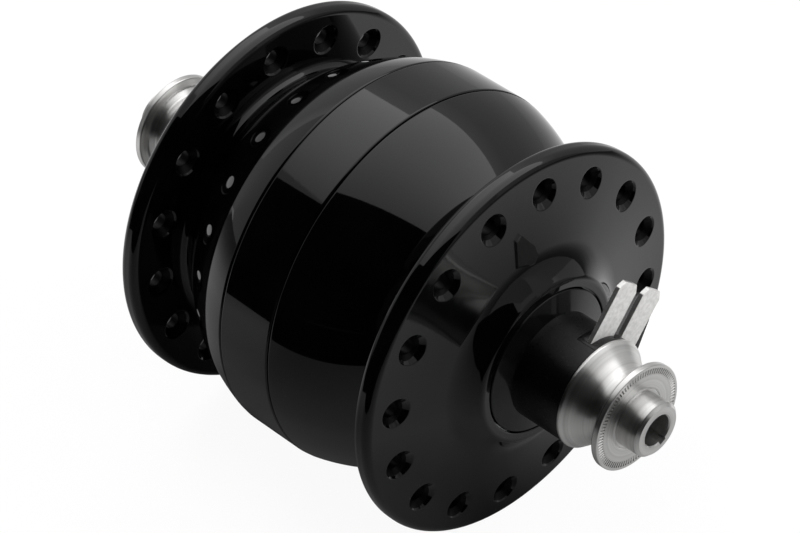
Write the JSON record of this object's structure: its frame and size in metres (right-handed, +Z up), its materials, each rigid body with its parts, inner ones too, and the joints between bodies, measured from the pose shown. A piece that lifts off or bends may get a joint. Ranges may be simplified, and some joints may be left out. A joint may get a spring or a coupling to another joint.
{
  "type": "hub_dynamo",
  "caption": "Gloss black bicycle front hub dynamo for a quick-release skewer, with spoke flanges, spool lock nuts and two spade terminals",
  "frame": {"origin": "hub centre: on the axle, midway between the two lock nut faces", "axes": "+Y along the axle towards the rider's left, terminals at -Y, +X forward, +Z up"},
  "size_m": [0.0646, 0.108, 0.0646],
  "materials": {
    "gloss_black": "gloss",
    "gloss_black_plastic": "gloss",
    "satin_black": "satin",
    "black_rubber": "matte",
    "turned_steel": "turned",
    "tinned_metal": "matte",
    "bearing_steel": "ground",
    "bare_iron": "bare",
    "magnet_grey": "sintered",
    "cage_brass": "satin",
    "bobbin_plastic": "matte",
    "enamelled_wire": "enamelled",
    "lead_insulation": "matte"
  },
  "bodies": {
    "axle_set": {"axle": "turned_steel", "left_bearing_inner_ring": "bearing_steel", "right_bearing_inner_ring": "bearing_steel", "left_claw_pole": "bare_iron", "right_claw_pole": "bare_iron", "stator_core": "bare_iron", "coil_bobbin": "bobbin_plastic", "coil_winding": "enamelled_wire", "coil_leads": "lead_insulation", "stator_nut": "cage_brass", "left_dust_cap": "gloss_black_plastic", "right_dust_cap": "gloss_black_plastic", "left_spacer_sleeve": "satin_black", "terminal_sleeve": "satin_black", "terminal_block": "satin_black", "upper_spade_terminal": "tinned_metal", "lower_spade_terminal": "tinned_metal", "left_lock_nut": "turned_steel", "right_lock_nut": "turned_steel"},
    "hub_shell": {"left_hub_shell": "gloss_black", "centre_band": "gloss_black", "right_hub_shell": "gloss_black", "shell_o_rings": "black_rubber", "back_iron_ring": "bare_iron", "ring_magnets": "magnet_grey", "left_bearing_outer_ring": "bearing_steel", "right_bearing_outer_ring": "bearing_steel", "left_bearing_seals": "black_rubber", "right_bearing_seals": "black_rubber"},
    "left_rolling_set": {"left_bearing_cage": "cage_brass", "left_bearing_balls": "bearing_steel"},
    "right_rolling_set": {"right_bearing_cage": "cage_brass", "right_bearing_balls": "bearing_steel"}
  },
  "joints": [
    {"name": "hub_spin", "type": "hinge", "parent": "axle_set", "child": "hub_shell", "pos_m": [0, 0, 0], "axis": [0, 1, 0], "continuous": true},
    {"name": "left_cage_spin", "type": "hinge", "parent": "axle_set", "child": "left_rolling_set", "pos_m": [0, 0.0256, 0], "axis": [0, 1, 0], "continuous": true},
    {"name": "right_cage_spin", "type": "hinge", "parent": "axle_set", "child": "right_rolling_set", "pos_m": [0, -0.0256, 0], "axis": [0, 1, 0], "continuous": true}
  ],
  "couplings": [
    {"joint": "left_cage_spin", "follows": "hub_spin", "ratio": 0.619},
    {"joint": "right_cage_spin", "follows": "hub_spin", "ratio": 0.619}
  ]
}
